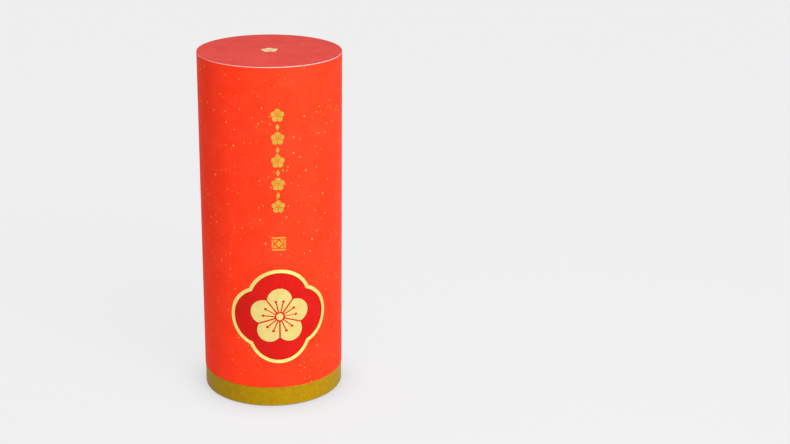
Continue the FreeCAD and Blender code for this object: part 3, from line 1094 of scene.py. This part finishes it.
def blossom(name, radius, gap, thickness, stamens=(), softness=0.0):
    """Five petals round a heart, about the origin."""
    first_petal = petal(radius, gap, thickness, stamens)
    heart = flat_disc("heart", radius * HEART_SHARE, thickness, (0, 0))
    parts = [first_petal, heart]
    if softness > 0:
        for part in parts:
            soften_front(part, softness)
    for place in range(1, PETALS):
        parts.append(twin_of(parts[0], turn=math.tau * place / PETALS))
    return join_pieces(name, parts)


print("helpers for blossoms are ready")

# %% [markdown]
# The large blossom stands proud of the panel, embossed and gilt. It is drawn flat, bevelled, cut into
# strips and rolled. It starts a little behind the plane of the print, because the panel lies deeper than
# the wrap.

# %% Medallion blossom
EMBLEM_RADIUS = 21 * MM
EMBLEM_GAP = 1 * MM
EMBLEM_THICKNESS = 0.3 * MM
EMBLEM_SOFTNESS = 0.11 * MM

medallion_blossom = blossom(
    "medallion_blossom", EMBLEM_RADIUS, EMBLEM_GAP, EMBLEM_THICKNESS, STAMEN_TURNS, EMBLEM_SOFTNESS
)
give_finish(medallion_blossom, card_gold)
shift(medallion_blossom, (0, panel_drop - PANEL_THICKNESS, medallion_height))
slice_in_strips(medallion_blossom)
roll_round(medallion_blossom)
set_in_place(medallion_blossom, "lid", "gold_card", "medallion_emblem")

# %% [markdown]
# A garland of small foil blossoms hangs down the front, with a lozenge between each two. One blossom and
# one lozenge are modelled and copied down the column. Foil is far thinner than paper, so these pieces have
# no bevel.

# %% Foil garland
FOIL_THICKNESS = 0.1 * MM
GARLAND_RADIUS = 4.6 * MM
GARLAND_GAP = 0.4 * MM
GARLAND_STEPS = 4
LOZENGE_WIDTH = 2.4 * MM
LOZENGE_HEIGHT = 5.2 * MM

lowest, highest = heights("foil_garland")
PETAL_DROP = GARLAND_RADIUS * (PETAL_SHARE + (1 - PETAL_SHARE) * math.cos(math.pi / PETALS))
top_middle = highest - GARLAND_RADIUS
pitch = (top_middle - lowest - PETAL_DROP) / GARLAND_STEPS
first_blossom = blossom("front_garland", GARLAND_RADIUS, GARLAND_GAP, FOIL_THICKNESS)
half_width = LOZENGE_WIDTH / 2
half_height = LOZENGE_HEIGHT / 2
lozenge = plate(
    "lozenge", [(half_width, 0), (0, half_height), (-half_width, 0), (0, -half_height)], FOIL_THICKNESS
)
garland = []
for place in range(GARLAND_STEPS):
    garland.append(twin_of(first_blossom, (0, 0, top_middle - (place + 1) * pitch)))
    garland.append(twin_of(lozenge, (0, 0, top_middle - (place + 0.5) * pitch)))
bpy.data.objects.remove(lozenge)
shift(first_blossom, (0, 0, top_middle))
front_garland = join_pieces("front_garland", [first_blossom] + garland)
give_finish(front_garland, print_gold)
slice_in_strips(front_garland)
roll_round(front_garland)
set_in_place(front_garland, "lid", "gold_foil", "foil_garland")

# %% [markdown]
# Under the garland is a small square fret: two long bars, two short ones between them, four corner pieces
# and a diamond, the same on the left as on the right. One of each is drawn, and turns make the others.

# %% Foil fret
FRET_SIDE = 9.6 * MM
FRET_BAR = 1 * MM
FRET_GAP = 0.7 * MM
QUARTERS = 4

fret_half = FRET_SIDE / 2
fret_inner = fret_half - FRET_BAR
fret_corner = fret_inner - FRET_GAP
fret_tip = fret_corner - FRET_GAP
fret_height = sum(heights("foil_fret")) / 2


def fret_bar(name, reach):
    """A bar along the upper side of the fret, the same to the left as to the right."""
    corners = [(-reach, fret_half), (reach, fret_half), (reach, fret_inner), (-reach, fret_inner)]
    return plate(name, corners, FOIL_THICKNESS)


diamond = plate(
    "fret_diamond", [(fret_tip, 0), (0, fret_tip), (-fret_tip, 0), (0, -fret_tip)], FOIL_THICKNESS
)
long_bar = fret_bar("fret_long_bar", fret_half)
short_bar = fret_bar("fret_short_bar", fret_corner)
shift(short_bar, (0, 0, 0), (0, math.pi / 2, 0))
corner_piece = plate(
    "fret_corner",
    [(fret_corner, fret_corner), (FRET_GAP, fret_corner), (fret_corner, FRET_GAP)],
    FOIL_THICKNESS,
)
fret_parts = [diamond, long_bar, short_bar, corner_piece]
for bar in (long_bar, short_bar):
    fret_parts.append(twin_of(bar, turn=math.pi))
for quarter in range(1, QUARTERS):
    fret_parts.append(twin_of(corner_piece, turn=math.tau * quarter / QUARTERS))
front_fret = join_pieces("front_fret", fret_parts)
give_finish(front_fret, print_gold)
shift(front_fret, (0, 0, fret_height))
slice_in_strips(front_fret)
roll_round(front_fret)
set_in_place(front_fret, "lid", "gold_foil", "foil_fret")

# %% [markdown]
# The same blossom in foil marks the middle of the top. It is drawn upright like the others and laid flat by
# a quarter turn about X, so that its front looks up.

# %% Top blossom
TOP_BLOSSOM_RADIUS = 6.0 * MM
TOP_BLOSSOM_GAP = 0.45 * MM

top_blossom = blossom("top_blossom", TOP_BLOSSOM_RADIUS, TOP_BLOSSOM_GAP, FOIL_THICKNESS)
give_finish(top_blossom, top_gold)
shift(top_blossom, (0, 0, heights("top_emblem")[0]), (-math.pi / 2, 0, 0))
set_in_place(top_blossom, "lid", "gold_foil", "top_emblem")

# %% [markdown]
# Inside the lid are a white lining, which starts where the turned edge of the wrap ends, and a white disc
# under the end board. The lining is a spun sheet without folds, with its good side towards the axis.

# %% Lid lining and ceiling
LINING_THICKNESS = 0.2 * MM


def lining(name, node, bore):
    """White paper on the inside of a tube."""
    radius = outer_radius(node)
    path = [(radius, height) for height in heights(node)]
    return spun_sheet(name, path, radius - bore, paper_stock, paper_stock)


lid_white_lining = lining("lid_white_lining", "lid_lining", tube_bore - LINING_THICKNESS)
set_in_place(lid_white_lining, "lid", "white_paper", "lid_lining")
lid_white_ceiling = soft_disc("lid_white_ceiling", "lid_ceiling_paper", PRINT_SOFTNESS, paper_stock)
set_in_place(lid_white_ceiling, "lid_carrier", "white_paper", "lid_ceiling_paper")

# %% [markdown]
# The base is a board ring in gold paper. The paper starts inside the ring, folds over the shoulder on which
# the lid rests, goes down the wall and folds in under the foot. It laps at the back as the red wrap does. A
# paper disc covers the turned edge under the foot.

# %% Base wrap and foot
FOOT_TURN = 8 * MM
BASE_INSET = 0.3 * MM

base_radius = lid_radius - BASE_INSET
base_low, base_high = heights("base_wrap")
ring_radius = outer_radius("base_ring")
gold_thickness = base_radius - ring_radius
disc_high = heights("base_disc")[1]
neck_radius = outer_radius("neck_wrap")
base_gold_wrap = spun_sheet(
    "base_gold_wrap",
    [
        (neck_radius, disc_high),
        (neck_radius, base_high),
        (base_radius, base_high),
        (base_radius, base_low),
        (ring_radius - FOOT_TURN, base_low),
    ],
    gold_thickness,
    gold_band_paper,
    paper_stock,
)
base_lap = lap_wedge("base_lap", gold_thickness, *heights("base_ring"), gold_band_paper)
roll_round(base_lap)
shift(base_lap, (0, lid_radius - base_radius, 0))
shift(base_lap, (0, 0, 0), (0, 0, math.pi))
base_gold_wrap = join_pieces("base_gold_wrap", [base_gold_wrap, base_lap])
set_in_place(base_gold_wrap, "base", "gold_paper", "base_wrap")
foot_disc = soft_disc("foot_disc", "foot_paper", CARD_SOFTNESS, neck_paper)
set_in_place(foot_disc, "base", "deep_red_paper", "foot_paper")

# %% [markdown]
# The neck stands in the base and guides the lid. Deep red paper covers its outside and turns in over its
# rim, a white lining covers the inside below that, and a white disc lies on the floor. All of this shows
# when the lid is lifted.

# %% Neck papers
neck_low, neck_high = heights("neck_wrap")
neck_tube_radius = outer_radius("neck_tube")
neck_bore = outer_radius("neck_lining")
neck_thickness = neck_radius - neck_tube_radius
neck_red_wrap = spun_sheet(
    "neck_red_wrap",
    [
        (neck_bore - neck_thickness, heights("neck_lining")[1]),
        (neck_bore - neck_thickness, neck_high),
        (neck_radius, neck_high),
        (neck_radius, neck_low),
    ],
    neck_thickness,
    neck_paper,
    paper_stock,
)
set_in_place(neck_red_wrap, "base", "deep_red_paper", "neck_wrap")
neck_white_lining = lining("neck_white_lining", "neck_lining", neck_bore - LINING_THICKNESS)
set_in_place(neck_white_lining, "base", "white_paper", "neck_lining")
floor_white_disc = soft_disc("floor_white_disc", "floor_paper", PRINT_SOFTNESS, paper_stock)
set_in_place(floor_white_disc, "base", "white_paper", "floor_paper")
